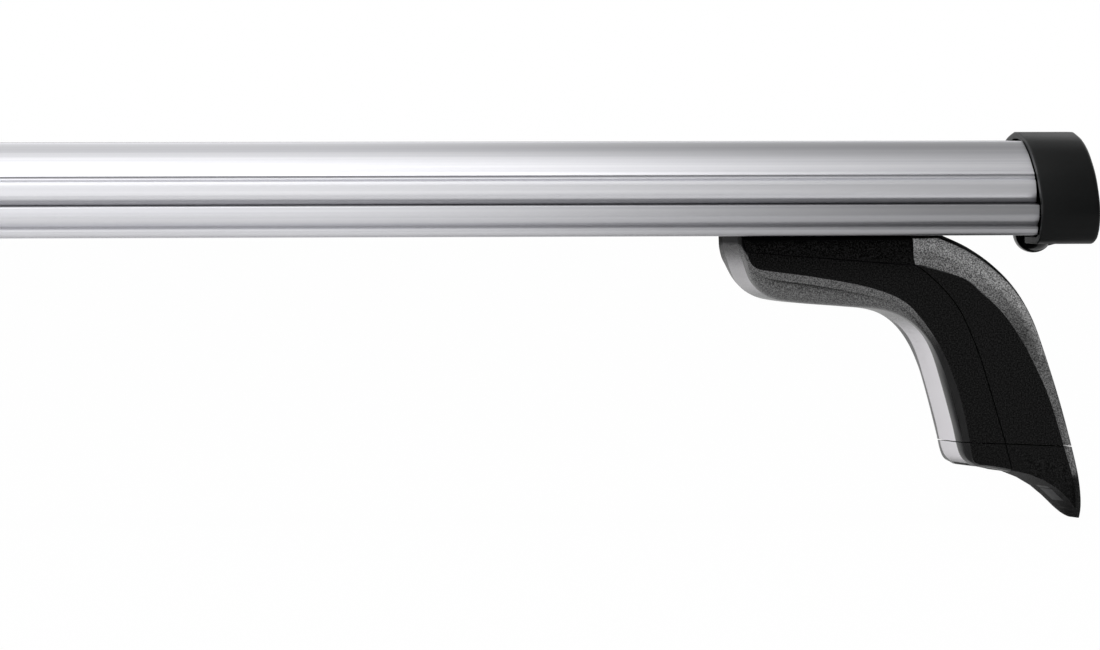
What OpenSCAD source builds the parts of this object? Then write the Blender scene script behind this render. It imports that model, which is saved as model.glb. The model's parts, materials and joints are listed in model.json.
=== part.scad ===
/* [Bar] */
// Length of the aluminium bar between its two end caps
bar_l = 1136; // [1000:2:1400]
// Depth of the bar from nose to tail
bar_d = 76; // [74:0.5:84]
// Height of the bar
bar_h = 34; // [32:0.5:38]
// Half width of the flat top beside the slot
top_half = 11; // [10:0.5:14]
// Wall of the bar section
bar_wall = 2; // [1.6:0.1:2.4]
// Mouth width of the top slot
slot_mouth = 11; // [9:0.5:12]
// Inner width of the top slot
slot_w = 20; // [18:0.5:21]
// Depth of the top slot below its lips
slot_deep = 8; // [7:0.5:9]
// Thickness of the slot lips
lip_t = 2.5; // [2:0.1:3]
// Mouth width of the lower channel
low_mouth = 9; // [8.5:0.5:10]
// Inner width of the lower channel
low_w = 18; // [17:0.5:19]
// Depth of the lower channel above its lips
low_deep = 6; // [5.5:0.5:7]

/* [End caps] */
// Length of a cap along the bar
cap_l = 22; // [20:0.5:28]
// How far a cap stands proud of the bar section
cap_proud = 3.2; // [2.8:0.1:3.6]
// Wall of a cap
cap_wall = 2.4; // [2:0.1:2.6]
// How far the cap's top falls from its crest to the edge of the bar's flat top
cap_crown = 1.6; // [1:0.2:2]
// Chamfer round the closed end of a cap
cap_edge = 2; // [1:0.25:2.5]
// Gap between the bar's end and the cap's rim
cap_gap = 0.4; // [0.3:0.1:0.8]
// Radius of the cap's hinge pin
cap_pin_r = 1.25; // [1:0.05:1.4]
// Running clearance of the hinge pins, on the radius
pin_fit = 0.06; // [0.03:0.01:0.09]
// Width of the hinge dome across the bar
dome_w = 22; // [21:0.5:26]
// Length of the hinge dome along the bar
dome_l = 14; // [13:0.5:15]
// Drop of the hinge dome below the bar
dome_drop = 6.8; // [6.4:0.1:7.4]

/* [Foot] */
// Half depth of the foot across its faces
foot_half = 22; // [20:0.5:25]
// How far the foot's rounded sides reach in from its faces
foot_round = 10; // [8:0.5:12]
// Distance from a bar end to the foot's reference line
foot_in = 46; // [45:0.5:66]
// Wall of the moulded foot shells
shell_wall = 2.4; // [2:0.1:2.8]
// Gap at the seams between the foot's shells
seam_gap = 0.4; // [0.3:0.05:0.5]
// Thickness of the rubber pad
pad_t = 2.6; // [2:0.2:3.2]
// Half depth of the rubber pad
pad_half = 12; // [10:0.5:12.5]

/* [Clamp] */
// Half depth of the steel support
frame_half = 13; // [12:0.5:14]
// Plate thickness of the steel support
frame_t = 4; // [3.5:0.5:4.5]
// Half depth of the claw plate
claw_half = 9; // [8:0.5:10]
// Radius of the tension screw
screw_r = 3; // [2.6:0.1:3.2]
// Length of the tension screw under its head
screw_l = 39; // [38:0.5:41]
// Radius of the tension screw's head
screw_head_r = 5.5; // [5:0.1:6]
// Width across flats of its hexagon socket
socket_af = 5; // [4:0.5:6]
// Thickness of the washer
washer_t = 1.5; // [1:0.1:2]
// Radius of the bolts that hold the foot to the bar
bolt_r = 3; // [2.6:0.1:3.2]
// Distance between the two bar bolts of a foot
bolt_pitch = 34; // [30:1:36]
// Radius of the end screws
end_screw_r = 2.2; // [1.8:0.1:2.4]

/* [Lock] */
// Radius of the lock cylinder
lock_r = 5.5; // [5:0.1:6]
// Length of the lock cylinder
lock_l = 9; // [8:0.5:10]

/* [Hidden] */
$fn = 48;
big = 200;
hair = 0.01;
touch = 0.02;

// Outline of the foot at mid depth, along the bar and down from its underside
rim_inner = [[-60.5, 0], [-60.3, -3.5], [-58.7, -9.4], [-55.6, -17], [-49.5, -22.2],
    [-40, -24.4], [-22, -25.9], [-8, -27.2], [0.5, -30], [7.3, -35.2], [11.6, -42.4],
    [15.2, -53.5], [19.3, -68.1], [22.3, -79.8], [26.8, -84.2]];
rim_arch = [[26.8, -84.2], [33, -84.9], [39.5, -86.2], [46, -88.2], [53.5, -92],
    [61, -97.4], [68.2, -103.6]];
rim_outer = [[68.2, -103.6], [66.3, -89.6], [63.6, -77.6], [58.8, -60.3], [53, -42],
    [48.4, -29.8], [42.4, -19.5], [34.4, -11.1], [25, -4.6], [15.8, -0.3]];
// Outline of the foot's flat faces, inside the rounded sides
face_inner = [[-58.8, -6.2], [-58.4, -8.3], [-57.2, -10.5], [-54.8, -12.1], [-49.6, -13],
    [-33.8, -15.1], [-14.8, -18.6], [-1.6, -23.4], [6.4, -31], [13.3, -41.4],
    [18.8, -53.8], [22.3, -66.2], [24.3, -77.4], [25.3, -82], [28, -83.6]];
face_arch = [[28, -83.6], [33.6, -84.2], [39.6, -85.4], [45.8, -87.4], [52.8, -91],
    [59.4, -95.8], [64.8, -101]];
face_outer = [[64.8, -101], [62.8, -90], [59.3, -77.6], [53.4, -58], [44.8, -39.4],
    [40.1, -31.8], [34.8, -24.8], [29.2, -19.1], [22.4, -14.6], [0, -9.9]];
// Crease between the flat faces and the rounded sides
edge_inner = [[-60.3, -1.2], [-60, -5.2], [-58.6, -9.8], [-55.4, -13.6], [-48.6, -15.6],
    [-32.8, -17.8], [-13.8, -21.5], [-1, -25.8], [6.6, -33], [12.3, -42.6], [16.9, -54.4],
    [20.4, -66.6], [22.8, -77.6], [24.1, -82], [27.4, -83.9]];
edge_arch = [[27.4, -83.9], [33.3, -84.6], [39.5, -85.9], [45.9, -87.9], [53.2, -91.6],
    [60.3, -96.7], [66.7, -102.6]];
edge_outer = [[66.7, -102.6], [65.1, -90], [62.4, -77.8], [57.4, -59.2], [51, -40],
    [46.4, -28.8], [39.6, -19.3], [31, -12.4], [21.2, -5.9], [10, -1.3]];
// Seam between the housing and the cover, top to bottom
seam = [[2.9, 1], [3, -8.6], [3.6, -10.7], [6, -12.3], [11.6, -17], [16.5, -22.2],
    [20.2, -27.2], [23, -32.7], [27.6, -43.8], [33, -61], [37.4, -76]];
seam_foot = [40.4, -88];
level_left = [0, -74.4];
level_right = [80, -77.8];

foot_h = -rim_arch[6][1];
bar_half = bar_l / 2;
cap_x = bar_half + cap_gap;
foot_x = bar_half - foot_in;
claw_line = seam_foot - seam[10];
claw_angle = atan2(claw_line[0], -claw_line[1]);
hinge_x = cap_x + 6.4;
ear_r = 2.5;
hinge_z = -ear_r - 0.35;
knuckle_gap = 0.4;
ear_w = 2.4;
ear_y = 3.6;
pin_l = 2 * ear_y + 3 * ear_w;
port_y = 21;
port_z = bar_h - 20;
plate_t = 3;
plate_low = 7;
screw_x = 34.5;
screw_z = -36;
head_h = 4.5;
seat_h = 7;
nut_top = -26;
nut_h = 5;
nut_af = 10;
bolt_x = -40;
bolt_head = 4;
bolt_head_r = 5;
slot_nut_w = 14;
slot_nut_h = 4;
lock_x = 45.5;
lock_z = -49.5;
tongue_l = 8;
tongue_t = 1.8;
cheek_gap = 0.3;
frame_drop = 0.5;
frame_top = -shell_wall - frame_drop;

// Curve through a list of points, with steps spans between neighbours
function knot(p, i) = p[max(0, min(len(p) - 1, i))];
function bend(a, b, c, d, t) = 0.5 * (2 * b + (c - a) * t + (2 * a - 5 * b + 4 * c - d) * t * t
    + (3 * b - a - 3 * c + d) * t * t * t);
function curve(p, steps) = [for (i = [0:len(p) - 2], k = [0:steps - 1])
    bend(knot(p, i - 1), p[i], p[i + 1], knot(p, i + 2), k / steps)];
function closed_curve(a, b, c, steps) = concat(curve(a, steps), curve(b, steps),
    curve(c, steps), [c[len(c) - 1]]);
function side_normal(p, q) = let (v = q - p) [-v[1], v[0]] / norm(v);
// Thinner towards the pointed tip, so that the inner outline never crosses itself
function inset_point(p, i, w) = let (n = len(p), a = p[(i + n - 1) % n], b = p[i],
    c = p[(i + 1) % n], m = side_normal(a, b) + side_normal(b, c))
    b + m * w * min(1, norm(b - rim_arch[6]) / 30) / max(1, m * m / 2);
function inset(p, w) = [for (i = [0:len(p) - 1]) inset_point(p, i, w)];

rim = closed_curve(rim_inner, rim_arch, rim_outer, 2);
face = closed_curve(face_inner, face_arch, face_outer, 2);

// Rings of the foot from its front face to mid depth: flat face, crease, rounding, side
edge = closed_curve(edge_inner, edge_arch, edge_outer, 2);
rings_in = [face, edge, [for (i = [0:len(rim) - 1]) edge[i] + (rim[i] - edge[i]) * 0.68], rim];
ring_step = [0, 0.24, 0.52, 1];
function lay(points, y) = [for (q = points) [q[0], y, q[1]]];
function ring_y(k, w) = foot_half - w - foot_round * ring_step[k];
function skin_rings(w) = concat(
    [for (k = [0:3]) lay(inset(rings_in[k], w), -ring_y(k, w))],
    [for (k = [3:-1:0]) lay(inset(rings_in[k], w), ring_y(k, w))]);

// Triangles that fill a closed outline, found by cutting off one ear after another
function turn(a, b, c) = (b[0] - a[0]) * (c[1] - a[1]) - (b[1] - a[1]) * (c[0] - a[0]);
function covers(q, a, b, c) = turn(a, b, q) >= 0 && turn(b, c, q) >= 0 && turn(c, a, q) >= 0;
function blocked(p, ids, a, b, c) = len([for (q = ids)
    if (q != a && q != b && q != c && covers(p[q], p[a], p[b], p[c])) q]) > 0;
function corner(ids, k) = let (n = len(ids)) [ids[(k + n - 1) % n], ids[k], ids[(k + 1) % n]];
function is_ear(p, ids, k) = let (e = corner(ids, k))
    turn(p[e[0]], p[e[1]], p[e[2]]) > 0 && !blocked(p, ids, e[0], e[1], e[2]);
function fill(p, ids) = len(ids) == 3 ? [ids] :
    let (k = [for (k = [0:len(ids) - 1]) if (is_ear(p, ids, k)) k][0])
    concat([corner(ids, k)], fill(p, [for (i = [0:len(ids) - 1]) if (i != k) ids[i]]));

// Closed solid through rings of points, with flat lids that follow the outline flat
module loft(rings, flat) {
    n = len(flat);
    last = len(rings) - 1;
    walls = [for (r = [0:last - 1], i = [0:n - 1])
        [r * n + i, r * n + (i + 1) % n, (r + 1) * n + (i + 1) % n, (r + 1) * n + i]];
    lid = fill(flat, [for (i = [0:n - 1]) i]);
    front = [for (f = lid) [f[2], f[1], f[0]]];
    rear = [for (f = lid) [for (i = f) last * n + i]];
    polyhedron([for (g = rings) each g], concat(walls, front, rear), convexity = 8);
}
module skin(w = 0) loft(skin_rings(w), inset(face, w));
module across(half) rotate([90, 0, 0]) linear_extrude(2 * half, center = true) children();
module region(points) across(big / 2) polygon(points);
module at_foot() translate([foot_x, 0, foot_h]) children();
module at_bar() translate([0, 0, foot_h]) children();
module side(s) mirror([s < 0 ? 1 : 0, 0, 0]) children();
module on_screw() translate([screw_x, 0, screw_z]) rotate([0, -claw_angle, 0]) children();

// Front half of the bar section, from the slot lip round the nose to the underside, in
// shares of the section's half depth and height
drawn = [38, 34];
function to_bar(p) = [for (q = p) [q[0] * bar_d / 2 / drawn[0], q[1] * bar_h / drawn[1]]];
function front_half() = concat([[-top_half, bar_h]], to_bar([[-16, 32], [-22.5, 28.4],
    [-29.6, 22.8], [-30.2, 22.1], [-29.9, 21.7], [-30.8, 21.3], [-31.2, 20.9], [-30.9, 20.5],
    [-31.8, 20], [-32.6, 18.6], [-33.2, 16.8], [-33.4, 15], [-33.1, 13.4], [-32.3, 12.1],
    [-31.7, 11.6], [-37, 11.3], [-37.6, 10.8], [-37.9, 9.4], [-38, 7.4], [-37.6, 6.1],
    [-36.8, 5.1], [-35.8, 4.5], [-35, 3.9], [-35.6, 3.1], [-35.7, 2.1], [-35.1, 1],
    [-34, 0.2], [-32.6, 0]]));
function flip(p) = [for (i = [len(p) - 1:-1:0]) [-p[i][0], p[i][1]]];
module bar_outline() polygon(concat(front_half(), flip(front_half())));
function plain_half() = concat([[-3, bar_h], [-top_half, bar_h - cap_crown]],
    to_bar([[-17, 30.4], [-23.5, 27], [-31, 21], [-35.4, 15], [-37.7, 10], [-37.7, 6],
    [-35.4, 1.4], [-32, 0]]));
// Smooth outline round the bar section, grown by a set amount
function smooth_half() = concat(curve(plain_half(), 2), to_bar([[-32, 0]]));
function grown_point(p, i, w) = let (n = len(p), m = side_normal(p[(i + n - 1) % n], p[i])
    + side_normal(p[i], p[(i + 1) % n])) p[i] - m * w / max(1, m * m / 2);
function section(w) = let (p = concat(smooth_half(), flip(smooth_half())))
    [for (i = [0:len(p) - 1]) grown_point(p, i, w)];
module cap_outline(grow) polygon(section(grow));
function stand(points, x) = [for (q = points) [x, q[0], q[1]]];
module cap_body() loft([stand(section(cap_proud - cap_edge), cap_x + cap_l),
    stand(section(cap_proud - 0.3 * cap_edge), cap_x + cap_l - 0.3 * cap_edge),
    stand(section(cap_proud), cap_x + cap_l - cap_edge),
    stand(section(cap_proud), cap_x)], section(cap_proud - cap_edge));
module slot(mouth, w, deep) {
    square([mouth, 2 * lip_t + hair], center = true);
    translate([-w / 2, -lip_t - deep]) square([w, deep]);
}
// Hollow on one side of the slots, with a slanted roof under the upper face
module chamber() polygon(concat([[-top_half - bar_wall, bar_wall + 8],
    [-top_half - bar_wall, bar_h - 2 * bar_wall - 1.5]],
    to_bar([[-20, 26], [-27, 18.5], [-30, 10]]), [[-bar_d / 2 + 8, bar_wall + 8]]));
module bar_section() {
    difference() {
        bar_outline();
        translate([0, bar_h]) slot(slot_mouth, slot_w, slot_deep);
        mirror([0, 1]) slot(low_mouth, low_w, low_deep);
        for (m = [0, 1]) mirror([m, 0]) difference() {
            chamber();
            translate([-port_y, port_z]) circle(end_screw_r + bar_wall);
        }
        for (m = [-1, 1]) translate([m * port_y, port_z]) circle(end_screw_r);
        for (m = [0, 1]) mirror([m, 0]) translate([-bar_d / 2 + 6, bar_wall])
            square([bar_d / 2 - 6 - low_w / 2 - bar_wall, 6]);
    }
}
module sweep_x(l) rotate([90, 0, 90]) linear_extrude(l) children();
module bar_profile() color("silver") at_bar()
    translate([-bar_half, 0, 0]) sweep_x(bar_l) bar_section();
module slot_strip() color([0.09, 0.09, 0.1]) at_bar()
    translate([-bar_half, 0, bar_h]) sweep_x(bar_l) {
        translate([-slot_mouth / 2 + touch, -lip_t]) square([slot_mouth - 2 * touch, lip_t]);
        translate([-slot_mouth / 2 - 2, -lip_t - 1.5]) square([slot_mouth + 4, 1.5 - touch]);
    }

module end_cap() color([0.06, 0.06, 0.065]) at_bar() difference() {
    union() {
        difference() {
            cap_body();
            translate([cap_x - 1, 0, 0]) sweep_x(cap_l - cap_wall + 1)
                cap_outline(cap_proud - cap_wall);
            translate([cap_x - 1, -dome_w / 2 - knuckle_gap, -big])
                cube([hinge_x - cap_x + 1 + dome_l / 2 + knuckle_gap, dome_w + 2 * knuckle_gap,
                    big + 5]);
        }
        for (m = [-1, 1]) translate([hinge_x, m * ear_y, 0]) {
            translate([0, 0, hinge_z]) rotate([90, 0, 0]) cylinder(r = ear_r, h = ear_w, center = true);
            translate([0, -ear_w / 2, -cap_proud])
                cube([dome_l / 2 + 2, ear_w, cap_wall]);
        }
    }
    translate([hinge_x, 0, hinge_z]) rotate([90, 0, 0])
        cylinder(r = cap_pin_r + pin_fit, h = dome_w, center = true);
}
module cap_hinge() color([0.05, 0.05, 0.055]) at_bar() difference() {
    union() {
        translate([bar_half, 0, 0]) sweep_x(plate_t) intersection() {
            cap_outline(-6);
            translate([-bar_d / 2, plate_low])
                square([bar_d, bar_h - lip_t - slot_deep - 1.5 - plate_low]);
        }
        translate([bar_half, -dome_w / 2, -hair]) cube([plate_t, dome_w, 9]);
        intersection() {
            translate([hinge_x, 0, 0]) scale([dome_l / 2, dome_w / 2, dome_drop])
                sphere(1, $fn = 32);
            translate([hinge_x - big / 2, -big / 2, -big]) cube([big, big, big - touch + hair]);
        }
    }
    for (m = [-1, 1]) translate([hinge_x - big / 2, m * ear_y - ear_w / 2 - knuckle_gap, -big])
        cube([big, ear_w + 2 * knuckle_gap, big - 0.15]);
    translate([hinge_x - big, -big / 2, -touch]) cube([big - (hinge_x - bar_half), big, touch + hair]);
    translate([hinge_x, 0, hinge_z]) rotate([90, 0, 0])
        cylinder(r = cap_pin_r + touch, h = pin_l + 2 * touch, center = true);
    for (m = [-1, 1]) translate([bar_half - 1, m * port_y, port_z]) rotate([0, 90, 0])
        cylinder(r = end_screw_r + 0.15, h = plate_t + 2);
}
module cap_pin() color("silver") at_bar() translate([hinge_x, 0, hinge_z])
    rotate([90, 0, 0]) cylinder(r = cap_pin_r, h = pin_l, center = true);
module end_screws() color("silver") at_bar() for (m = [-1, 1])
    translate([bar_half + plate_t + touch, m * port_y, port_z]) rotate([0, 90, 0]) difference() {
        union() {
            translate([0, 0, -plate_t - 14]) cylinder(r = end_screw_r - touch, h = plate_t + 14 + hair);
            cylinder(r = 1.8 * end_screw_r, h = 2.6);
        }
        translate([0, 0, 1]) cylinder(d = 0.55 * socket_af, h = 3, $fn = 6);
    }

// Seam regions of the foot, each half a gap inside its own side of the seam
module trim() offset(delta = -seam_gap / 2) children();
module housing_area() trim() polygon(concat([[-90, 1]], seam, [level_left]
    , [[-90, level_left[1]]]));
module cover_area() trim() polygon(concat(seam, [level_right, [level_right[0], 1]]));
module shoe_area() trim() polygon([level_left, seam[10], seam_foot + claw_line, [-20, -110]]);
module claw_area() trim() polygon([seam[10], level_right, [90, -120],
    seam_foot + 2 * claw_line]);
module shell() difference() {
    skin();
    skin(shell_wall);
}
module foot_housing() color([0.07, 0.07, 0.075]) at_foot() difference() {
    intersection() {
        shell();
        across(big / 2) housing_area();
    }
    for (k = [0, 1]) translate([bolt_x + k * bolt_pitch, 0, -shell_wall - 1])
        cylinder(r = bolt_r + 0.3, h = shell_wall + 2);
}
module foot_cover() color([0.08, 0.08, 0.085]) at_foot() difference() {
    union() {
        intersection() {
            shell();
            across(big / 2) cover_area();
        }
        intersection() {
            skin(shell_wall / 2);
            translate([lock_x + 1, 0, lock_z]) rotate([0, 90, 0])
                cylinder(r = lock_r + 2, h = big);
        }
    }
    translate([lock_x, 0, lock_z]) rotate([0, 90, 0])
        cylinder(r = lock_r + pin_fit, h = big);
}
module pad_band() polygon(concat([for (q = rim_arch) if (q[0] < 40) q + [0, pad_t]],
    [[40, -90], [20, -90]]));
module foot_shoe() color([0.07, 0.07, 0.075]) at_foot() difference() {
    intersection() {
        skin();
        across(big / 2) shoe_area();
    }
    across(pad_half + touch) pad_band();
    translate([26, -pad_half, -78.5]) cube([9, 2 * pad_half, 20]);
}
module roof_pad() color([0.04, 0.04, 0.04]) at_foot() across(pad_half) intersection() {
    pad_band();
    polygon(rim);
    shoe_area();
}
// Outline of the steel claw, from its guide block down to the hook
module claw_shape() polygon([[34.2, -56], [45.3, -58.6], [48.2, -71], [56.5, -79],
    [61.5, -91], [63.9, -98.8], [57.5, -92.8], [50, -87.6], [43.6, -85], [39.8, -79.6]]);
module claw_cover() color([0.07, 0.07, 0.075]) at_foot() difference() {
    intersection() {
        skin();
        across(big / 2) claw_area();
    }
    across(claw_half + touch) offset(delta = touch) claw_shape();
}
module clamp_claw() color("dimgray") at_foot() difference() {
    across(claw_half) claw_shape();
    on_screw() translate([0, 0, -screw_l - 3]) cylinder(r = screw_r + 0.4, h = big);
    on_screw() translate([-nut_af / 2 - touch, -big, nut_top - nut_h - touch])
        cube([nut_af + 2 * touch, big + nut_af / 2 + touch, nut_h + 2 * touch]);
}
module claw_nut() color("silver") at_foot() on_screw() difference() {
    translate([-nut_af / 2, -nut_af / 2, nut_top - nut_h]) cube([nut_af, nut_af, nut_h]);
    translate([0, 0, -big]) cylinder(r = screw_r + pin_fit, h = 2 * big);
}
module tension_screw() color("silver") at_foot() on_screw() difference() {
    union() {
        translate([0, 0, -screw_l]) cylinder(r = screw_r, h = screw_l + hair);
        cylinder(r = screw_head_r, h = head_h);
    }
    translate([0, 0, 1.2]) cylinder(d = socket_af / cos(30), h = head_h, $fn = 6);
}
module screw_seat() color("silver") at_foot() on_screw() difference() {
    translate([0, 0, -washer_t]) cylinder(r = screw_head_r + 1, h = washer_t - touch);
    translate([0, 0, -washer_t - 1]) cylinder(r = screw_r + 0.2, h = washer_t + 2);
}
module cheek() polygon([[-20, frame_top - frame_t], [0, frame_top - frame_t], [6, -13],
    [20, -26], [27, -32], [28.5, -39.5], [41.5, -42.5], [45.5, -57], [36, -62], [24, -56],
    [15, -38], [4, -26.5], [-8, -20]]);
module foot_frame() color("gray") at_foot() difference() {
    union() {
        translate([-50, -frame_half, frame_top - frame_t]) cube([51, 2 * frame_half, frame_t]);
        difference() {
            across(frame_half) cheek();
            across(claw_half + cheek_gap) translate([-50, -big]) square([2 * big, 2 * big]);
        }
        on_screw() translate([-6.5, -frame_half, -washer_t - touch - seat_h])
            cube([13, 2 * frame_half, seat_h]);
    }
    on_screw() translate([0, 0, -big]) cylinder(r = screw_r + 0.3, h = big);
    for (k = [0, 1]) translate([bolt_x + k * bolt_pitch, 0, frame_top - frame_t - 1])
        cylinder(r = bolt_r + 0.3, h = frame_t + 2);
}
module bar_nuts() color("silver") at_foot() for (k = [0, 1])
    translate([bolt_x + k * bolt_pitch, 0, lip_t + touch]) difference() {
        translate([-slot_nut_w / 2, -slot_nut_w / 2, 0])
            cube([slot_nut_w, slot_nut_w, slot_nut_h]);
        translate([0, 0, -1]) cylinder(r = bolt_r + touch, h = slot_nut_h + 2);
    }
module bar_bolts() color("silver") at_foot() for (k = [0, 1])
    translate([bolt_x + k * bolt_pitch, 0, frame_top - frame_t - touch]) difference() {
        union() {
            cylinder(r = bolt_r, h = -frame_top + frame_t + lip_t + slot_nut_h + 1);
            translate([0, 0, -bolt_head]) cylinder(r = bolt_head_r, h = bolt_head);
        }
        translate([0, 0, -bolt_head - 1]) cylinder(d = socket_af / cos(30), h = 3.5, $fn = 6);
    }
module lock_barrel() color("silver") at_foot() translate([lock_x, 0, lock_z])
    rotate([0, 90, 0]) difference() {
        cylinder(r = lock_r, h = lock_l);
        translate([-3, -0.6, lock_l - 3]) cube([6, 1.2, 4]);
    }
module lock_tongue() color("silver") at_foot()
    translate([lock_x - tongue_t - touch, -3, lock_z - 3]) cube([tongue_t, 6, tongue_l + 3]);

bar_profile();
slot_strip();
side(1) end_cap();  // end_cap_right
side(1) cap_hinge();  // cap_hinge_right
side(1) cap_pin();  // cap_pin_right
side(1) end_screws();  // end_screws_right
side(1) foot_housing();  // foot_housing_right
side(1) foot_cover();  // foot_cover_right
side(1) foot_shoe();  // foot_shoe_right
side(1) claw_cover();  // claw_cover_right
side(1) roof_pad();  // roof_pad_right
side(1) foot_frame();  // foot_frame_right
side(1) bar_nuts();  // bar_nuts_right
side(1) bar_bolts();  // bar_bolts_right
side(1) clamp_claw();  // clamp_claw_right
side(1) tension_screw();  // tension_screw_right
side(1) screw_seat();  // screw_seat_right
side(1) claw_nut();  // claw_nut_right
side(1) lock_barrel();  // lock_barrel_right
side(1) lock_tongue();  // lock_tongue_right
side(-1) end_cap();  // end_cap_left
side(-1) cap_hinge();  // cap_hinge_left
side(-1) cap_pin();  // cap_pin_left
side(-1) end_screws();  // end_screws_left
side(-1) foot_housing();  // foot_housing_left
side(-1) foot_cover();  // foot_cover_left
side(-1) foot_shoe();  // foot_shoe_left
side(-1) claw_cover();  // claw_cover_left
side(-1) roof_pad();  // roof_pad_left
side(-1) foot_frame();  // foot_frame_left
side(-1) bar_nuts();  // bar_nuts_left
side(-1) bar_bolts();  // bar_bolts_left
side(-1) clamp_claw();  // clamp_claw_left
side(-1) tension_screw();  // tension_screw_left
side(-1) screw_seat();  // screw_seat_left
side(-1) claw_nut();  // claw_nut_left
side(-1) lock_barrel();  // lock_barrel_left
side(-1) lock_tongue();  // lock_tongue_left
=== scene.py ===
import json
import math
import bmesh
import bpy
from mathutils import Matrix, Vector

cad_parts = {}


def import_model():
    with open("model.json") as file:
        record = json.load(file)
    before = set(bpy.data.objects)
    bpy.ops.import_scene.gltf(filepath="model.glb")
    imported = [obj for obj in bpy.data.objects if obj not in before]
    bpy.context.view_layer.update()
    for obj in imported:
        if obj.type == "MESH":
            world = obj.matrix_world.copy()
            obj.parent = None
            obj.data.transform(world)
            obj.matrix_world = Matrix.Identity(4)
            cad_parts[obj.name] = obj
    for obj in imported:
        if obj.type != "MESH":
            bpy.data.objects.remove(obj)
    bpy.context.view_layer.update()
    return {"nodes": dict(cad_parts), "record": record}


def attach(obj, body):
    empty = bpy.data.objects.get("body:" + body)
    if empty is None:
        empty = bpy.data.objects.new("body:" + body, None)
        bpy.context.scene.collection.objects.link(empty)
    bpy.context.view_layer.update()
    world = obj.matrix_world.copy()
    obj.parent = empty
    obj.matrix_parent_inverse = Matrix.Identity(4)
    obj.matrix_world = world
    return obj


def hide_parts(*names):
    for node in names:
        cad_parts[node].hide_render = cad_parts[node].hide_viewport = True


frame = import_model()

MM = 0.001

# Driving sizes, in millimetres, as in the part's source
BAR_L, BAR_D, BAR_H = 1136, 76, 34
TOP_HALF = 11
SLOT_MOUTH, SLOT_W, SLOT_DEEP, LIP = 11, 20, 8, 2.5
LOW_MOUTH, LOW_W, LOW_DEEP = 9, 18, 6
BAR_WALL = 2
CAP_L, CAP_PROUD, CAP_WALL, CAP_GAP = 22, 3.2, 2.4, 0.4
CROWN = 1.6
DOME_L = 14
EAR_R, EAR_W, EAR_Y = 2.5, 2.4, 3.6
PIN_R = 1.31
FOOT_HALF, FOOT_ROUND, FOOT_IN = 22, 10, 46
SHELL, SEAM_GAP = 2.4, 0.4
FOOT_H = 103.6
PAD_T, PAD_HALF = 2.6, 12
CLAW_HALF = 9
LOCK_R, LOCK_Z = 5.56, -49.5
BAR_HALF = BAR_L / 2
CAP_X = BAR_HALF + CAP_GAP
HINGE_X = CAP_X + 6.4
HINGE_Z = -EAR_R - 0.35
FOOT_X = BAR_HALF - FOOT_IN
NOSE = -BAR_D / 2
TOUCH = 0.02

# Outlines of the foot in its own plane: along the bar, and up from the bar's underside
RIM = [
    [(-60.5, 0), (-60.3, -3.5), (-58.7, -9.4), (-55.6, -17), (-49.5, -22.2), (-40, -24.4),
     (-22, -25.9), (-8, -27.2), (0.5, -30), (7.3, -35.2), (11.6, -42.4), (15.2, -53.5),
     (19.3, -68.1), (22.3, -79.8), (26.8, -84.2)],
    [(26.8, -84.2), (33, -84.9), (39.5, -86.2), (46, -88.2), (53.5, -92), (61, -97.4),
     (68.2, -103.6)],
    [(68.2, -103.6), (66.3, -89.6), (63.6, -77.6), (58.8, -60.3), (53, -42), (48.4, -29.8),
     (42.4, -19.5), (34.4, -11.1), (25, -4.6), (15.8, -0.3)]]
EDGE = [
    [(-60.3, -1.2), (-60, -5.2), (-58.6, -9.8), (-55.4, -13.6), (-48.6, -15.6),
     (-32.8, -17.8), (-13.8, -21.5), (-1, -25.8), (6.6, -33), (12.3, -42.6), (16.9, -54.4),
     (20.4, -66.6), (22.8, -77.6), (24.1, -82), (27.4, -83.9)],
    [(27.4, -83.9), (33.3, -84.6), (39.5, -85.9), (45.9, -87.9), (53.2, -91.6),
     (60.3, -96.7), (66.7, -102.6)],
    [(66.7, -102.6), (65.1, -90), (62.4, -77.8), (57.4, -59.2), (51, -40), (46.4, -28.8),
     (39.6, -19.3), (31, -12.4), (21.2, -5.9), (10, -1.3)]]
FACE = [
    [(-58.8, -6.2), (-58.4, -8.3), (-57.2, -10.5), (-54.8, -12.1), (-49.6, -13),
     (-33.8, -15.1), (-14.8, -18.6), (-1.6, -23.4), (6.4, -31), (13.3, -41.4), (18.8, -53.8),
     (22.3, -66.2), (24.3, -77.4), (25.3, -82), (28, -83.6)],
    [(28, -83.6), (33.6, -84.2), (39.6, -85.4), (45.8, -87.4), (52.8, -91), (59.4, -95.8),
     (64.8, -101)],
    [(64.8, -101), (62.8, -90), (59.3, -77.6), (53.4, -59), (46.4, -44.1), (40.8, -34.4),
     (34.8, -26.8), (28, -20.8), (21.5, -16), (6.5, -11.4)]]
SEAM = [(2.9, 1), (3, -8.6), (3.6, -10.7), (6, -12.3), (11.6, -17), (16.5, -22.2),
         (20.2, -27.2), (23, -32.7), (27.6, -43.8), (33, -61), (37.4, -76)]
SEAM_FOOT = (40.4, -88)
LEVEL_LEFT, LEVEL_RIGHT = (0, -74.4), (80, -77.8)
CLAW_LINE = (SEAM_FOOT[0] - SEAM[-1][0], SEAM_FOOT[1] - SEAM[-1][1])
CLAW_SHAPE = [(34.2, -56), (45.3, -58.6), (48.2, -71), (56.5, -79), (61.5, -91),
              (63.9, -98.8), (57.5, -92.8), (50, -87.6), (43.6, -85), (39.8, -79.6)]
HOOK_ARCH = [(33, -84.9), (40, -85.7), (46, -87), (52, -89.4), (57, -92.4), (61, -95.9),
             (64.4, -99.6), (66.4, -102), (68.3, -103.65)]
SLIM_FROM = 88
STEPS = 8


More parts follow.
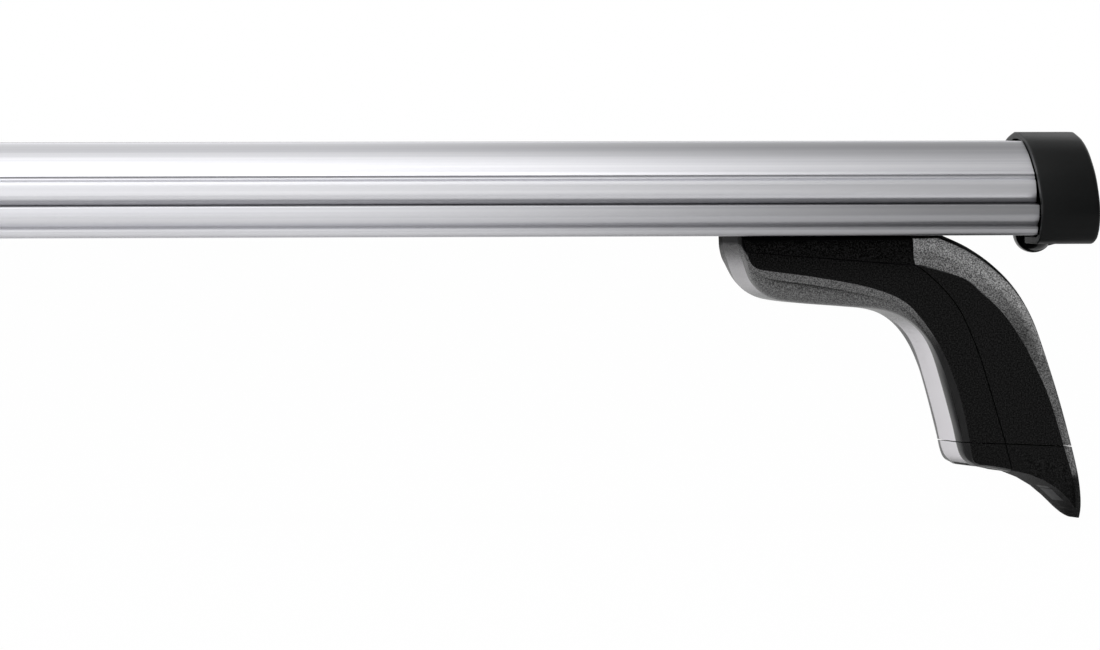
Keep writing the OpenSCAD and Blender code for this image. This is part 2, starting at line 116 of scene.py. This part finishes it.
def curve(points, steps):
    """Smooth curve through the points, without its last one."""
    out = []
    for i in range(len(points) - 1):
        a, b = points[max(0, i - 1)], points[i]
        c, d = points[i + 1], points[min(len(points) - 1, i + 2)]
        for k in range(steps):
            t = k / steps
            out.append(tuple(0.5 * (2 * b[j] + (c[j] - a[j]) * t
                                    + (2 * a[j] - 5 * b[j] + 4 * c[j] - d[j]) * t * t
                                    + (3 * b[j] - a[j] - 3 * c[j] + d[j]) * t ** 3)
                             for j in (0, 1)))
    return out


def closed(parts):
    """Closed outline from open curves that meet at sharp corners."""
    out = [q for part in parts for q in curve(part, STEPS)]
    top, start = parts[-1][-1], parts[0][0]
    out.append(top)
    across = 24
    out += [tuple(top[j] + (start[j] - top[j]) * k / across for j in (0, 1))
            for k in range(1, across)]
    return out


def offset(points, w, guard=None):
    """The outline moved inwards by w, less so close to a guarded sharp tip."""
    out = []
    for i, b in enumerate(points):
        a, c = points[i - 1], points[(i + 1) % len(points)]
        normals = []
        for p, q in ((a, b), (b, c)):
            length = math.dist(p, q) or 1
            normals.append((-(q[1] - p[1]) / length, (q[0] - p[0]) / length))
        m = (normals[0][0] + normals[1][0], normals[0][1] + normals[1][1])
        share = min(1, math.dist(b, guard) / 30) if guard else 1
        scale = w * share / max(1, (m[0] ** 2 + m[1] ** 2) / 2)
        out.append((b[0] + m[0] * scale, b[1] + m[1] * scale))
    return out


def mix(a, b, t):
    return [(p[0] + (q[0] - p[0]) * t, p[1] + (q[1] - p[1]) * t) for p, q in zip(a, b)]


def make(name, bm):
    bmesh.ops.recalc_face_normals(bm, faces=bm.faces)
    mesh = bpy.data.meshes.new(name)
    bm.to_mesh(mesh)
    bm.free()
    obj = bpy.data.objects.new(name, mesh)
    bpy.context.scene.collection.objects.link(obj)
    return obj


def loft(name, rings):
    """Closed mesh through rings of points given in millimetres."""
    bm = bmesh.new()
    rows = [[bm.verts.new(Vector(p) * MM) for p in ring] for ring in rings]
    n = len(rows[0])
    for a, b in zip(rows, rows[1:]):
        for i in range(n):
            bm.faces.new((a[i], a[(i + 1) % n], b[(i + 1) % n], b[i]))
    bm.faces.new(rows[0])
    bm.faces.new(rows[-1])
    return make(name, bm)


def prism(name, points, half, place):
    """An outline in the foot's plane, extruded to both sides."""
    return loft(name, [[place(x, y, z) for x, z in points] for y in (-half, half)])


def cut(target, tool, operation):
    """Applies one boolean step and removes the tool."""
    modifier = target.modifiers.new("cut", "BOOLEAN")
    modifier.object = tool
    modifier.operation = operation
    modifier.solver = "EXACT"
    bpy.context.view_layer.update()
    graph = bpy.context.evaluated_depsgraph_get()
    mesh = bpy.data.meshes.new_from_object(target.evaluated_get(graph))
    target.modifiers.clear()
    target.data = mesh
    bpy.data.objects.remove(tool)


def join(target, others):
    """Adds the meshes of the others to the target as separate shells."""
    bm = bmesh.new()
    for obj in [target] + others:
        bm.from_mesh(obj.data)
    bm.to_mesh(target.data)
    bm.free()
    for obj in others:
        bpy.data.objects.remove(obj)


def smooth(obj, angle=30):
    mesh = obj.data
    mesh.polygons.foreach_set("use_smooth", [True] * len(mesh.polygons))
    mesh.set_sharp_from_angle(angle=math.radians(angle))
    mesh.update()


def rod(name, centre, radius, half, axis, place, sides=48):
    """Round bar along Y or X, in millimetres."""
    rings = []
    for s in (-half, half):
        ring = []
        for k in range(sides):
            turn = 2 * math.pi * k / sides
            u, v = radius * math.cos(turn), radius * math.sin(turn)
            if axis == "Y":
                ring.append(place(centre[0] + u, centre[1] + s, centre[2] + v))
            else:
                ring.append(place(centre[0] + s, centre[1] + u, centre[2] + v))
        rings.append(ring)
    return loft(name, rings)


# Materials

def shader(name):
    mat = bpy.data.materials.new(name)
    mat.use_nodes = True
    tree = mat.node_tree
    return mat, tree, tree.nodes["Principled BSDF"]


def node(tree, kind, **values):
    made = tree.nodes.new(kind)
    for key, value in values.items():
        setattr(made, key, value)
    return made


def coords(tree, scale):
    """Object coordinates, stretched by the given scale."""
    source = node(tree, "ShaderNodeTexCoord")
    mapping = node(tree, "ShaderNodeMapping")
    mapping.inputs["Scale"].default_value = scale
    tree.links.new(source.outputs["Object"], mapping.inputs["Vector"])
    return mapping.outputs["Vector"]


def noise(tree, vector, scale, detail=3, rough=0.6):
    made = node(tree, "ShaderNodeTexNoise")
    made.inputs["Scale"].default_value = scale
    made.inputs["Detail"].default_value = detail
    made.inputs["Roughness"].default_value = rough
    tree.links.new(vector, made.inputs["Vector"])
    return made.outputs["Fac"]


def ramp(tree, value, stops):
    made = node(tree, "ShaderNodeValToRGB")
    elements = made.color_ramp.elements
    elements[0].position, elements[1].position = stops[0][0], stops[-1][0]
    for place, _ in stops[1:-1]:
        elements.new(place)
    for element, (_, colour) in zip(elements, stops):
        element.color = (*colour, 1) if isinstance(colour, tuple) else (colour,) * 3 + (1,)
    tree.links.new(value, made.inputs["Fac"])
    return made.outputs["Color"]


def calc(tree, operation, *values):
    """Math node on sockets and numbers."""
    made = node(tree, "ShaderNodeMath", operation=operation)
    for socket, value in zip(made.inputs, values):
        if isinstance(value, (int, float)):
            socket.default_value = value
        else:
            tree.links.new(value, socket)
    return made.outputs[0]


def step(tree, value, low, high, start=0.0, end=1.0):
    """Soft step of a value, from start below low to end above high."""
    made = node(tree, "ShaderNodeMapRange", interpolation_type="SMOOTHSTEP")
    for name, number in (("From Min", low), ("From Max", high), ("To Min", start),
                         ("To Max", end)):
        made.inputs[name].default_value = number
    tree.links.new(value, made.inputs["Value"])
    return made.outputs["Result"]


def blend(tree, factor, low, high):
    """Colour between two colours or sockets."""
    made = node(tree, "ShaderNodeMix", data_type="RGBA")
    tree.links.new(factor, made.inputs[0])
    for socket, value in ((made.inputs[6], low), (made.inputs[7], high)):
        if isinstance(value, tuple):
            socket.default_value = (*value, 1)
        else:
            tree.links.new(value, socket)
    return made.outputs[2]


def parts_of(tree, kind, output):
    """X, Y and Z of a coordinate or normal output."""
    source = node(tree, kind)
    split = node(tree, "ShaderNodeSeparateXYZ")
    tree.links.new(source.outputs[output], split.inputs["Vector"])
    return [split.outputs[axis] for axis in "XYZ"]


def bump(tree, bsdf, height, strength, distance):
    made = node(tree, "ShaderNodeBump")
    made.inputs["Strength"].default_value = strength
    made.inputs["Distance"].default_value = distance
    tree.links.new(height, made.inputs["Height"])
    tree.links.new(made.outputs["Normal"], bsdf.inputs["Normal"])


def aluminium():
    """Satin anodised aluminium, drawn along the bar, with painted shade by height along the grooves,
    rolls and ledges of its front and back, and a painted fall-off of light that darkens its lower
    band towards its ends.
    """
    mat, tree, bsdf = shader("bar_aluminium")
    bsdf.inputs["Metallic"].default_value = 1
    drawn = noise(tree, coords(tree, (3, 900, 900)), 1.6, 4)
    wide = noise(tree, coords(tree, (1.5, 500, 500)), 1.0, 3)
    x, y, z = parts_of(tree, "ShaderNodeTexCoord", "Object")
    height = calc(tree, "DIVIDE", calc(tree, "SUBTRACT", z, FOOT_H * MM), BAR_H * MM)
    # Painted shade: the colour is darkened by height where shade falls in the profile's grooves,
    # below the ledge of the roll and on the slope near the top.
    painted_shade_levels = [(0, 0.9), (1.9, 1.0), (3.2, 0.9), (3.6, 0.62), (4.4, 1.0), (10.9, 1.0),
              (11.4, 0.35), (12, 0.8), (13, 1.0), (20.5, 1.0), (21.9, 0.6), (22.6, 1.0),
              (27.5, 0.95), (31.5, 0.66), (33, 0.66), (33.8, 0.9)]
    painted_height_shade = ramp(tree, height, [(level / BAR_H, shade) for level, shade in painted_shade_levels])
    metal = ramp(tree, wide, [(0.3, (0.80, 0.80, 0.84)), (0.7, (0.95, 0.95, 0.98))])
    # Metal colour times the painted shade, kept off the top land by the mask on the width.
    mixed = node(tree, "ShaderNodeMix", data_type="RGBA", blend_type="MULTIPLY")
    tree.links.new(step(tree, calc(tree, "ABSOLUTE", y), 0.0105, 0.0125), mixed.inputs[0])
    tree.links.new(metal, mixed.inputs[6])
    tree.links.new(painted_height_shade, mixed.inputs[7])
    # Painted fall-off of light: the lower band is darkened by up to half towards both ends of the
    # bar.
    painted_falloff = calc(tree, "MULTIPLY", step(tree, calc(tree, "ABSOLUTE", x), 0.28, 0.57, 0, 0.5),
               step(tree, height, 0.3, 0.44, 1, 0))
    tree.links.new(blend(tree, painted_falloff, mixed.outputs[2], (0, 0, 0)), bsdf.inputs["Base Color"])
    tree.links.new(ramp(tree, drawn, [(0.3, 0.30), (0.7, 0.38)]), bsdf.inputs["Roughness"])
    bump(tree, bsdf, drawn, 0.06, 0.0001)
    return mat


def speckle(tree):
    """Coarse spark-eroded grain of the moulded shells."""
    return noise(tree, coords(tree, (1, 1, 1)), 2000, 3, 0.7)


def cover_plastic():
    """Grained all over, with painted light that makes the shallow facets that face up a paler grey.
    """
    mat, tree, bsdf = shader("cover_plastic")
    fine = speckle(tree)
    _, across, up = parts_of(tree, "ShaderNodeNewGeometry", "Normal")
    # Painted light: shallow facets that face up, on the front and back, get a much paler grain, as
    # if lit from above.
    lit = calc(tree, "MULTIPLY", step(tree, up, 0.04, 0.26), step(tree, up, 0.5, 0.72, 1, 0))
    side = step(tree, calc(tree, "ABSOLUTE", across), 0.5, 0.8)
    dark = ramp(tree, fine, [(0.42, 0.0008), (0.66, 0.026)])
    painted_light_grain = ramp(tree, fine, [(0.40, 0.12), (0.62, 0.80)])
    tree.links.new(blend(tree, calc(tree, "MULTIPLY", lit, side), dark, painted_light_grain),
                   bsdf.inputs["Base Color"])
    tree.links.new(ramp(tree, fine, [(0.35, 0.6), (0.65, 0.42)]), bsdf.inputs["Roughness"])
    bump(tree, bsdf, calc(tree, "MULTIPLY", fine, side), 0.35, 0.0004)
    bsdf.inputs["Specular IOR Level"].default_value = 0.06
    return mat


def housing_plastic():
    """Grained on its faces and shiny on its sides, with a painted near-white reflection on the leg's
    inner faces and painted light on the facets that face down beneath the arm.
    """
    mat, tree, bsdf = shader("housing_plastic")
    fine = speckle(tree)
    along, across, up = parts_of(tree, "ShaderNodeNewGeometry", "Normal")
    x, y, z = parts_of(tree, "ShaderNodeTexCoord", "Object")
    flat = step(tree, calc(tree, "ABSOLUTE", across), 0.80, 0.97)
    # Painted reflection: the inward faces of the leg near the middle are coloured near-white, fading
    # out towards the top.
    inward = calc(tree, "MULTIPLY", calc(tree, "MULTIPLY", along, calc(tree, "SIGN", x)), -1.0)
    painted_reflection_mask = calc(tree, "MULTIPLY", step(tree, inward, 0.4, 0.85),
                  step(tree, calc(tree, "ABSOLUTE", y), 0.0120, 0.0135, 1, 0))
    painted_reflection_mask = calc(tree, "MULTIPLY", painted_reflection_mask, step(tree, z, 0.058, 0.088, 1, 0.5))
    painted_reflection_mask = calc(tree, "MULTIPLY", painted_reflection_mask, step(tree, z, 0.090, 0.098, 1, 0.06))
    dark = blend(tree, flat, (0.002, 0.002, 0.0023),
                 ramp(tree, fine, [(0.42, 0.0008), (0.66, 0.026)]))
    # Painted light: facets that face down beneath the arm get a paler grain.
    painted_light_under = calc(tree, "MULTIPLY", step(tree, up, -0.25, -0.08, 1, 0), step(tree, z, 0.06, 0.08))
    dark = blend(tree, painted_light_under, dark, ramp(tree, fine, [(0.42, 0.06), (0.62, 0.26)]))
    # The near-white here is painted reflection, not the plastic's own colour.
    tree.links.new(blend(tree, painted_reflection_mask, dark, (0.95, 0.92, 0.96)), bsdf.inputs["Base Color"])
    tree.links.new(step(tree, flat, 0, 1, 0.26, 0.5), bsdf.inputs["Roughness"])
    bump(tree, bsdf, calc(tree, "MULTIPLY", fine, flat), 0.30, 0.0004)
    tree.links.new(step(tree, flat, 0, 1, 0.4, 0.06), bsdf.inputs["Specular IOR Level"])
    tree.links.new(step(tree, z, 0.086, 0.1, 1.45, 1.03), bsdf.inputs["IOR"])
    return mat


def plain(name, colour, rough, metallic=0.0, scale=700, depth=0.05, shine=0.5):
    """Fine even surface with a slight variation in colour and gloss."""
    mat, tree, bsdf = shader(name)
    fine = noise(tree, coords(tree, (1, 1, 1)), scale, 3)
    low = tuple(0.88 * c for c in colour)
    high = tuple(min(1, 1.12 * c) for c in colour)
    tree.links.new(ramp(tree, fine, [(0.3, low), (0.7, high)]), bsdf.inputs["Base Color"])
    tree.links.new(ramp(tree, fine, [(0.3, rough * 0.9), (0.7, min(1, rough * 1.1))]),
                   bsdf.inputs["Roughness"])
    bsdf.inputs["Metallic"].default_value = metallic
    bsdf.inputs["Specular IOR Level"].default_value = shine
    bump(tree, bsdf, fine, depth, 0.0003)
    return mat


MATERIALS = {
    "bar_aluminium": aluminium(),
    "strip_rubber": plain("strip_rubber", (0.03, 0.03, 0.033), 0.6),
    "cap_plastic": plain("cap_plastic", (0.005, 0.0055, 0.0055), 0.4, scale=1800, depth=0.1,
                         shine=0.13),
    "dome_plastic": plain("dome_plastic", (0.002, 0.002, 0.002), 0.12, depth=0.01,
                          shine=0.35),
    "housing_plastic": housing_plastic(),
    "cover_plastic": cover_plastic(),
    "rubber": plain("rubber", (0.02, 0.02, 0.02), 0.75, scale=400, depth=0.2),
    "coated_steel": plain("coated_steel", (0.012, 0.012, 0.014), 0.45, depth=0.1),
    "steel": plain("steel", (0.62, 0.61, 0.58), 0.3, metallic=1.0, scale=300),
    "chrome": plain("chrome", (0.8, 0.8, 0.8), 0.12, metallic=1.0, scale=200, depth=0.02)}


def finish_piece(obj, slot, body, nodes, angle=30):
    obj.data.materials.clear()
    obj.data.materials.append(MATERIALS[slot])
    smooth(obj, angle)
    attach(obj, body)
    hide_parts(*nodes)


def at_foot(side):
    return lambda x, y, z: (side * (FOOT_X + x), y, FOOT_H + z)


def at_bar(side):
    return lambda x, y, z: (side * x, y, FOOT_H + z)


# Foot shells

def foot_skin(name, place, w=0.0):
    """The foot's outer form, or the same form moved inwards by w."""
    tip = RIM[1][-1]
    face, edge, rim = (offset(closed(part), w, tip) for part in (FACE, EDGE, RIM))
    half = FOOT_HALF - w

    def slim(z):
        """Share of the depth that is left towards the hook's tip."""
        t = min(1.0, max(0.0, (-z - SLIM_FROM) / (FOOT_H - SLIM_FROM)))
        return 1 - 0.1 * t - 0.35 * t ** 4

    profile = [(face, 0.0), (mix(face, edge, 0.04), 0.04), (mix(face, edge, 0.5), 0.115),
               (mix(face, edge, 0.94), 0.20), (mix(edge, rim, 0.05), 0.245)]
    turns = 7
    for k in range(1, turns + 1):
        turn = math.pi / 2 * k / turns
        profile.append((mix(edge, rim, 0.05 + 0.95 * math.sin(turn)),
                        0.245 + 0.755 * (1 - math.cos(turn))))
    rings = [[place(x, -(half - FOOT_ROUND * step) * slim(z), z) for x, z in ring]
             for ring, step in profile]
    rings += [[place(x, (half - FOOT_ROUND * step) * slim(z), z) for x, z in ring]
              for ring, step in reversed(profile)]
    return loft(name, rings)


def area(name, points, place, gap=SEAM_GAP / 2):
    """Prism over one side of the seams, moved in from them by the gap."""
    turning = sum(p[0] * q[1] - q[0] * p[1] for p, q in zip(points, points[1:] + points[:1]))
    ring = points if turning > 0 else points[::-1]
    return prism(name, offset(ring, gap), 60, place)


def seam_curve():
    return [SEAM[0]] + curve(SEAM[1:], 4) + [SEAM[-1]]


def shell_piece(name, side, points, hollow=True):
    place = at_foot(side)
    obj = foot_skin(name, place)
    cut(obj, area("area", points, place), "INTERSECT")
    if hollow:
        inner = foot_skin("inner", place, SHELL)
        cut(inner, area("area", points, place, -1), "INTERSECT")
        cut(obj, inner, "DIFFERENCE")
    return obj


def foot(side, tag):
    place = at_foot(side)
    seam = seam_curve()
    far = (90, -120)
    housing = shell_piece("housing_shell_" + tag, side,
                          [(-90, 1)] + seam + [LEVEL_LEFT, (-90, LEVEL_LEFT[1])])
    finish_piece(housing, "housing_plastic", "rack", ["foot_housing_" + tag])
    cover = shell_piece("cover_shell_" + tag, side,
                        seam + [LEVEL_RIGHT, (LEVEL_RIGHT[0], 1)])
    cut(cover, rod("hole", (55, 0, LOCK_Z), LOCK_R, 9, "X", place), "DIFFERENCE")
    finish_piece(cover, "cover_plastic", "cover_" + tag, ["foot_cover_" + tag])
    shoe = shell_piece("shoe_shell_" + tag, side,
                       [LEVEL_LEFT, SEAM[-1],
                        (SEAM_FOOT[0] + CLAW_LINE[0], SEAM_FOOT[1] + CLAW_LINE[1]),
                        (-20, -110)], hollow=False)
    band = [(x, z + PAD_T) for x, z in RIM[1] if x < 40] + [(40, -90), (20, -90)]
    cut(shoe, prism("band", band, PAD_HALF + TOUCH, place), "DIFFERENCE")
    finish_piece(shoe, "housing_plastic", "rack", ["foot_shoe_" + tag])
    claw = shell_piece("claw_shell_" + tag, side,
                       [SEAM[-1], LEVEL_RIGHT, far,
                        (SEAM_FOOT[0] + 2 * CLAW_LINE[0], SEAM_FOOT[1] + 2 * CLAW_LINE[1])],
                       hollow=False)
    arch = [(x, z) for x, z in HOOK_ARCH] + [(70, -110), (30, -110)]
    cut(claw, prism("arch", arch, 60, place), "DIFFERENCE")
    pocket = prism("pocket", offset(CLAW_SHAPE[::-1], -TOUCH), CLAW_HALF + TOUCH, place)
    cut(claw, pocket, "DIFFERENCE")
    finish_piece(claw, "cover_plastic", "claw_" + tag, ["claw_cover_" + tag])


# Bar and caps

PLAIN_HALF = [(-3, BAR_H), (-TOP_HALF, BAR_H - CROWN), (-17, 30.4), (-23.5, 27),
              (NOSE + 7, 21), (NOSE + 2.6, 15), (NOSE + 0.3, 10), (NOSE + 0.3, 6), (NOSE + 2.6, 1.4),
              (NOSE + 6, 0)]


# Notches in the cap's lower lip: where each ends, its front and its back. The first clears
# the dome, and the second shortens the lip along the back.
NOTCHES = [(HINGE_X + DOME_L / 2 + 0.4, -14, 31), (CAP_X + 10, 20, 60)]
NOTCH_TOP = 1.3


def mirrored(half):
    return half + [(-y, z) for y, z in reversed(half)]


def cap_section(grow):
    """Outline of a cap, stepped in by a shallow ledge low on its front and back."""
    outline = offset(mirrored(curve(PLAIN_HALF, 6) + [PLAIN_HALF[-1]]), -grow)
    ledge = 0.45 if grow > 0.9 * (CAP_PROUD - CAP_WALL) else 0
    return [(y - math.copysign(ledge, y) if z < 1.4 else y, z) for y, z in outline]


def end_cap(side, tag):
    place = at_bar(side)
    round_r, lip_r, end = 2.0, 0.5, CAP_X + CAP_L
    rows = []
    for k in range(7):
        turn = math.pi / 2 * k / 6
        rows.append((end - round_r + round_r * math.cos(turn),
                     CAP_PROUD - round_r + round_r * math.sin(turn)))
    for k in range(5):
        turn = math.pi / 2 * k / 4
        rows.append((CAP_X + lip_r - lip_r * math.sin(turn),
                     CAP_PROUD - lip_r + lip_r * math.cos(turn)))
    rows.append((CAP_X, CAP_PROUD - CAP_WALL))
    rows.append((end - CAP_WALL, CAP_PROUD - CAP_WALL))
    rings = [[place(x, y, z) for y, z in cap_section(grow)] for x, grow in rows]
    cap = loft("cap_shell_" + tag, rings)
    for inner, front, back in NOTCHES:
        room = [(CAP_X - 1, -20), (inner, -20), (inner, NOTCH_TOP), (CAP_X - 1, NOTCH_TOP)]
        cut(cap, loft("notch", [[place(x, y, z) for x, z in room] for y in (front, back)]),
            "DIFFERENCE")
    ears = []
    for m in (-1, 1):
        arm = []
        reach = DOME_L / 2 + 2
        for k in range(17):
            turn = math.pi * (0.5 + k / 16)
            arm.append((EAR_R * math.cos(turn), HINGE_Z + EAR_R * math.sin(turn)))
        arm += [(reach, -CAP_PROUD), (reach, -CAP_PROUD + CAP_WALL)]
        ear = loft("ear", [[place(HINGE_X + u, m * EAR_Y + s * EAR_W / 2, v) for u, v in arm]
                           for s in (-1, 1)])
        cut(ear, rod("bore", (HINGE_X, m * EAR_Y, HINGE_Z), PIN_R, 5, "Y", place), "DIFFERENCE")
        ears.append(ear)
    join(cap, ears)
    finish_piece(cap, "cap_plastic", "cap_" + tag, ["end_cap_" + tag])


def bar_half_section():
    """Front half of the bar's outline, with its rolls and grooves as smooth curves."""
    face = [(-TOP_HALF, BAR_H)] + curve([(-TOP_HALF - 0.5, BAR_H - 0.05), (-16, BAR_H - 2),
                                         (-22.5, BAR_H - 5.6), (NOSE + 8.4, BAR_H - 11.2)], 6)
    lines = [(NOSE + 8.4, 22.8), (NOSE + 7.8, 22.1), (NOSE + 8.1, 21.7), (NOSE + 7.2, 21.3),
             (NOSE + 6.8, 20.9), (NOSE + 7.1, 20.5)]
    roll = curve([(NOSE + 6.2, 20), (NOSE + 5.4, 18.6), (NOSE + 4.8, 16.8), (NOSE + 4.6, 15),
                  (NOSE + 4.9, 13.4), (NOSE + 5.7, 12.1), (NOSE + 6.3, 11.6)], 5)
    low = [(NOSE + 6.3, 11.6), (NOSE + 1, 11.3)]
    low += curve([(NOSE + 0.7, 11.1), (NOSE + 0.4, 10.8), (NOSE + 0.1, 9.4), (NOSE, 7.4),
                  (NOSE + 0.4, 6.1), (NOSE + 1.2, 5.1), (NOSE + 2.2, 4.5), (NOSE + 3, 3.9)], 4)
    low += [(NOSE + 3, 3.9)]
    bead = curve([(NOSE + 2.4, 3.1), (NOSE + 2.3, 2.1), (NOSE + 2.9, 1), (NOSE + 4, 0.2),
                  (NOSE + 5.4, 0)], 4)
    return face + lines + roll + low + bead + [(NOSE + 5.4, 0)]


def bar():
    top = [(-SLOT_MOUTH / 2, BAR_H), (-SLOT_MOUTH / 2, BAR_H - LIP),
           (-SLOT_W / 2, BAR_H - LIP), (-SLOT_W / 2, BAR_H - LIP - SLOT_DEEP)]
    low = [(-LOW_W / 2, LIP + LOW_DEEP), (-LOW_W / 2, LIP), (-LOW_MOUTH / 2, LIP),
           (-LOW_MOUTH / 2, 0)]
    half = top[::-1] + bar_half_section() + low[::-1]
    outline = half + [(-y, z) for y, z in reversed(half)]
    rings = [[(x, y, FOOT_H + z) for y, z in outline] for x in (-BAR_HALF, BAR_HALF)]
    body = loft("bar_extrusion", rings)
    room = [(-TOP_HALF - BAR_WALL, BAR_WALL + 8),
            (-TOP_HALF - BAR_WALL, BAR_H - 2 * BAR_WALL - 1.5), (-20, 26), (-27, 18.5),
            (-30, 10), (NOSE + 8, BAR_WALL + 8)]
    low_room = [(NOSE + 6, BAR_WALL), (NOSE + 6, BAR_WALL + 6),
                (-LOW_W / 2 - BAR_WALL, BAR_WALL + 6), (-LOW_W / 2 - BAR_WALL, BAR_WALL)]
    for side in (-1, 1):
        for points in (room, low_room):
            hole = loft("hole", [[(x, side * y, FOOT_H + z) for y, z in points]
                                 for x in (-BAR_HALF - 1, BAR_HALF + 1)])
            cut(body, hole, "DIFFERENCE")
    finish_piece(body, "bar_aluminium", "rack", ["bar_profile"], angle=24)


bar()
for side, tag in ((1, "right"), (-1, "left")):
    foot(side, tag)
    end_cap(side, tag)

# CAD nodes that keep their own shape
SLOT_OF = {entry["node"]: entry["material_slot"] for entry in frame["record"]["subparts"]}
for name, obj in frame["nodes"].items():
    obj.data.materials.clear()
    obj.data.materials.append(MATERIALS[SLOT_OF[name]])
    smooth(obj, 35)


# Floor, light and camera

def floor():
    bm = bmesh.new()
    bmesh.ops.create_grid(bm, x_segments=1, y_segments=1, size=12)
    obj = make("floor", bm)
    mat = bpy.data.materials.new("floor")
    mat.use_nodes = True
    tree = mat.node_tree
    path = node(tree, "ShaderNodeLightPath")
    white = node(tree, "ShaderNodeEmission")
    white.inputs["Color"].default_value = (1, 1, 1, 1)
    mixed = node(tree, "ShaderNodeMixShader")
    diffuse = tree.nodes["Principled BSDF"]
    diffuse.inputs["Base Color"].default_value = (0.9, 0.9, 0.9, 1)
    diffuse.inputs["Roughness"].default_value = 0.9
    share = node(tree, "ShaderNodeMath", operation="MULTIPLY")
    share.inputs[1].default_value = 0.985
    tree.links.new(path.outputs["Is Camera Ray"], share.inputs[0])
    tree.links.new(share.outputs[0], mixed.inputs["Fac"])
    tree.links.new(diffuse.outputs[0], mixed.inputs[1])
    tree.links.new(white.outputs[0], mixed.inputs[2])
    tree.links.new(mixed.outputs[0], tree.nodes["Material Output"].inputs["Surface"])
    obj.data.materials.append(mat)


def world():
    made = bpy.data.worlds.new("studio")
    bpy.context.scene.world = made
    made.use_nodes = True
    tree = made.node_tree
    back = tree.nodes["Background"]
    back.inputs["Color"].default_value = (1, 1, 1, 1)
    path = node(tree, "ShaderNodeLightPath")
    seen = node(tree, "ShaderNodeMath", operation="MAXIMUM")
    tree.links.new(path.outputs["Is Camera Ray"], seen.inputs[0])
    tree.links.new(path.outputs["Is Glossy Ray"], seen.inputs[1])
    also = node(tree, "ShaderNodeMath", operation="MAXIMUM")
    tree.links.new(seen.outputs[0], also.inputs[0])
    tree.links.new(path.outputs["Is Transmission Ray"], also.inputs[1])
    level = node(tree, "ShaderNodeMapRange")
    level.inputs["To Min"].default_value = 0.45
    level.inputs["To Max"].default_value = 1.0
    tree.links.new(also.outputs[0], level.inputs["Value"])
    tree.links.new(level.outputs["Result"], back.inputs["Strength"])


def lamp(name, place, aim, size, power):
    data = bpy.data.lights.new(name, "AREA")
    data.shape = "RECTANGLE"
    data.size, data.size_y = size
    data.energy = power
    obj = bpy.data.objects.new(name, data)
    bpy.context.scene.collection.objects.link(obj)
    obj.location = place
    obj.rotation_euler = (Vector(aim) - Vector(place)).to_track_quat("-Z", "Y").to_euler()


def card(name, place, aim, size, level=0.0):
    """Dark studio card, a little bright at a level above 0, that only reflections see."""
    bm = bmesh.new()
    bmesh.ops.create_grid(bm, x_segments=1, y_segments=1, size=0.5)
    obj = make(name, bm)
    obj.scale = (size[0], size[1], 1)
    obj.location = place
    obj.rotation_euler = (Vector(aim) - Vector(place)).to_track_quat("Z", "Y").to_euler()
    mat, _, bsdf = shader(name)
    bsdf.inputs["Base Color"].default_value = (0, 0, 0, 1)
    bsdf.inputs["Specular IOR Level"].default_value = 0
    bsdf.inputs["Emission Color"].default_value = (1, 1, 1, 1)
    bsdf.inputs["Emission Strength"].default_value = level
    obj.data.materials.append(mat)
    for ray in ("camera", "diffuse", "shadow", "transmission"):
        setattr(obj, "visible_" + ray, False)


def camera():
    """Long lens, slightly left of and above the part, aimed where the photo is centred."""
    yaw, lift, distance = math.radians(12), math.radians(1.2), 5.4
    aim = Vector((0.386, -0.041, 0.072))
    way = Vector((math.sin(yaw) * math.cos(lift), math.cos(yaw) * math.cos(lift),
                  -math.sin(lift)))
    data = bpy.data.cameras.new("camera")
    data.sensor_width = 36
    pixels_per_metre = 2780
    data.lens = 36 * pixels_per_metre * distance / 1100
    data.clip_end = 100
    obj = bpy.data.objects.new("camera", data)
    bpy.context.scene.collection.objects.link(obj)
    obj.location = aim - way * distance
    obj.rotation_euler = way.to_track_quat("-Z", "Y").to_euler()
    bpy.context.scene.camera = obj


floor()
world()
lamp("key_left", (-1.6, -1.0, 1.3), (0.35, 0, 0.1), (1.6, 1.6), 24)
lamp("top", (0.3, -0.2, 2.2), (0.4, 0, 0.1), (2.2, 1.0), 8)
card("front_card", (1.46, -1.0, 0.5), (1.46, 0, 0.5), (1.6, 1.5), 0.22)
card("top_card", (1.46, 0.1, 1.15), (1.46, 0.1, 0.1), (1.6, 2.4), 0.30)
card("right_card", (2.3, 0, 0.5), (1.3, 0, 0.5), (2.2, 1.6), 0.25)
camera()
bpy.context.scene.view_settings.view_transform = "Standard"
